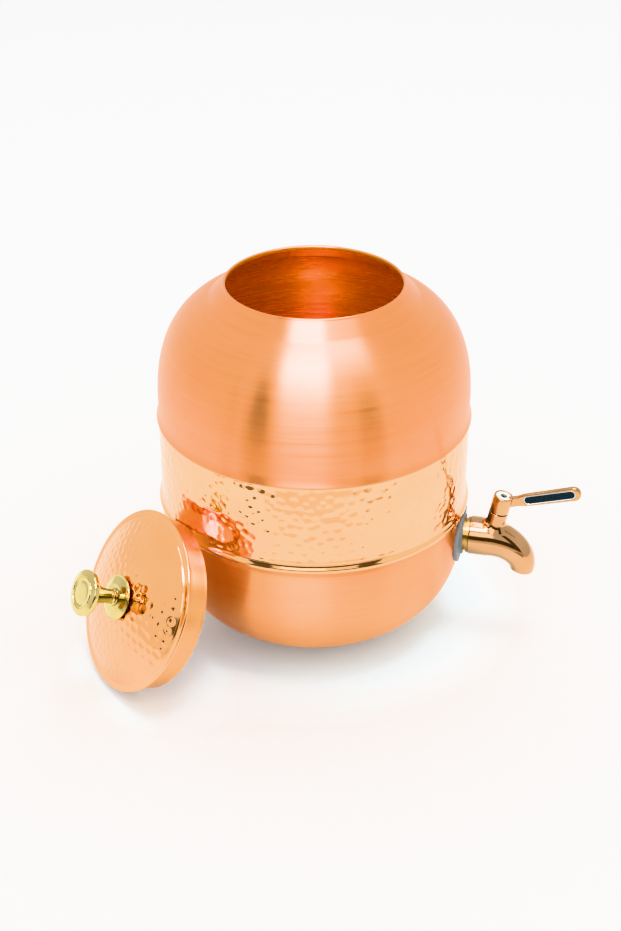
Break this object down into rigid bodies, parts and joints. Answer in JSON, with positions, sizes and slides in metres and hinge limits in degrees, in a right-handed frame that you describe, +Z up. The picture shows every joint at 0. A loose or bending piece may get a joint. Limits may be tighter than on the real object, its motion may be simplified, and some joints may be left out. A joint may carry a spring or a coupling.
{
  "type": "copper water dispenser pot",
  "caption": "Round copper water pot with a hammered band, a lever ball tap near its base and a lift-off lid with a turned brass knob, the lid off and leaning on the pot.",
  "frame": {"origin": "centre of the pot's flat base, on the floor", "axes": "+Z up through the mouth's centre; +X out along the tap's axis"},
  "size_m": [0.3122, 0.2581, 0.2398],
  "materials": {
    "brushed_copper": "copper sheet, brushed round the pot, clear lacquer",
    "hammered_copper": "copper sheet, hammered and polished bright",
    "rose_plate": "rose-gold plated brass, mirror polished",
    "polished_brass": "turned brass, polished",
    "raw_brass": "turned brass, bare",
    "steel": "stainless steel, turned",
    "grey_rubber": "food-grade silicone rubber, matte grey",
    "black_rubber": "nitrile rubber, black",
    "white_plastic": "PTFE, white",
    "black_badge": "blue-black enamel, glossy",
    "white_disc": "silver-white disc with turned rings"
  },
  "bodies": {
    "pot": {"upper_shell": "brushed_copper", "hammered_band": "hammered_copper", "lower_shell": "brushed_copper", "outer_gasket": "grey_rubber", "backing_ring": "raw_brass", "tap_shank": "raw_brass", "inner_gasket": "grey_rubber", "shank_washer": "steel", "lock_nut": "raw_brass", "tap_body": "rose_plate", "ball_seats": "white_plastic", "gland_bush": "raw_brass"},
    "lever": {"lever_handle": "rose_plate", "badge_plate": "black_badge", "index_disc": "white_disc", "handle_screw": "steel", "valve_stem": "raw_brass", "stem_o_rings": "black_rubber", "valve_ball": "steel"},
    "lid": {"lid_cover": "hammered_copper", "lid_collar": "brushed_copper", "knob_flange": "polished_brass", "knob": "polished_brass", "knob_washer": "steel", "knob_screw": "steel"}
  },
  "joints": [
    {"name": "lever_turn", "type": "hinge", "parent": "pot", "child": "lever", "pos_m": [0.1208, 0, 0.0679], "axis": [0.1994, 0, 0.9799], "range_deg": [0, 90]},
    {"name": "lid_pull", "type": "slide", "parent": "pot", "child": "lid", "axis": [-0.636, -0.6206, 0.4586], "range_m": [0, 0.25]}
  ]
}
